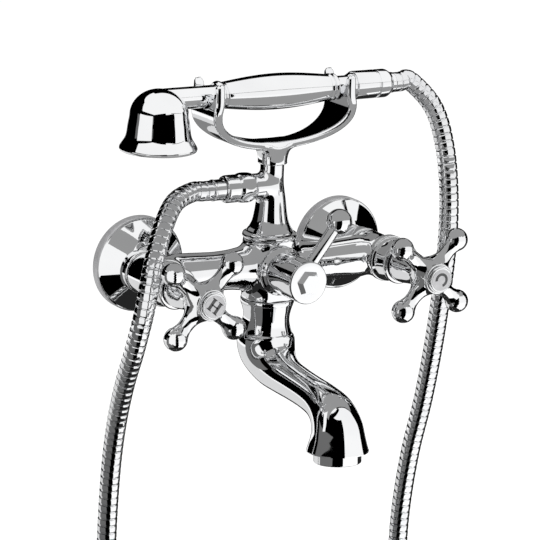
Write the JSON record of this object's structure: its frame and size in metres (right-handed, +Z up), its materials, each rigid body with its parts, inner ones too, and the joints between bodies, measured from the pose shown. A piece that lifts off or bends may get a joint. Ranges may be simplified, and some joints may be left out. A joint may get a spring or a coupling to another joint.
{
  "type": "bath mixer",
  "caption": "Wall-mounted chrome bath mixer with cross handles, a swan spout, a diverter lever and a hand shower resting in a cradle above it.",
  "frame": {"origin": "on the finished wall, midway between the two water inlets", "axes": "+Y into the wall, -Y out to the room, +X to the right as seen from the room, +Z up"},
  "size_m": [0.2464, 0.1664, 0.5782],
  "materials": {
    "chrome": "bright polished chrome plating on brass",
    "hose_chrome": "chrome-plated wound metal hose, polished",
    "raw_brass": "machined brass, unplated",
    "seal_rubber": "matt black rubber",
    "dark_steel": "dark socket-head steel",
    "white_plastic": "white moulded plastic"
  },
  "bodies": {
    "mixer": {"left_rose": "chrome", "right_rose": "chrome", "left_union": "chrome", "right_union": "chrome", "left_union_nut": "chrome", "right_union_nut": "chrome", "union_washers": "seal_rubber", "mixer_body": "chrome", "hot_headwork": "raw_brass", "cold_headwork": "raw_brass", "left_bonnet": "chrome", "right_bonnet": "chrome", "gland_rings": "seal_rubber", "diverter_bushing": "chrome", "riser_column": "chrome", "column_seal": "seal_rubber", "hose_nut": "chrome", "branch_ferrule": "chrome", "branch_washer": "seal_rubber", "shower_hose": "hose_chrome", "cradle": "chrome", "cradle_screw": "dark_steel", "bath_spout": "chrome", "spout_seal": "seal_rubber", "aerator_housing": "chrome", "aerator_insert": "white_plastic"},
    "hot_valve": {"hot_spindle": "raw_brass", "hot_handle": "chrome", "hot_screw": "raw_brass", "hot_button": "chrome"},
    "cold_valve": {"cold_spindle": "raw_brass", "cold_handle": "chrome", "cold_screw": "raw_brass", "cold_button": "chrome"},
    "diverter": {"diverter_spindle": "raw_brass", "diverter_drum": "chrome", "lever_rod": "chrome", "lever_ball": "chrome"},
    "handset": {"shower_bell": "chrome", "spray_plate": "chrome", "shower_neck": "chrome", "front_collar": "chrome", "grip": "chrome", "rear_collar": "chrome", "shower_tail": "chrome", "tail_washer": "seal_rubber", "handset_nut": "chrome", "handset_ferrule": "chrome"}
  },
  "joints": [
    {"name": "hot_turn", "type": "hinge", "parent": "mixer", "child": "hot_valve", "pos_m": [-0.083, -0.0605, 0], "axis": [0, -1, 0], "range_deg": [0, 180]},
    {"name": "cold_turn", "type": "hinge", "parent": "mixer", "child": "cold_valve", "pos_m": [0.083, -0.0605, 0], "axis": [0, -1, 0], "range_deg": [0, 180]},
    {"name": "diverter_turn", "type": "hinge", "parent": "mixer", "child": "diverter", "pos_m": [0, -0.06, 0], "axis": [0, -1, 0], "range_deg": [0, 90]},
    {"name": "handset_lift", "type": "slide", "parent": "mixer", "child": "handset", "axis": [0, 0, 1], "range_m": [0, 0.06], "deforming": ["shower_hose"]}
  ]
}
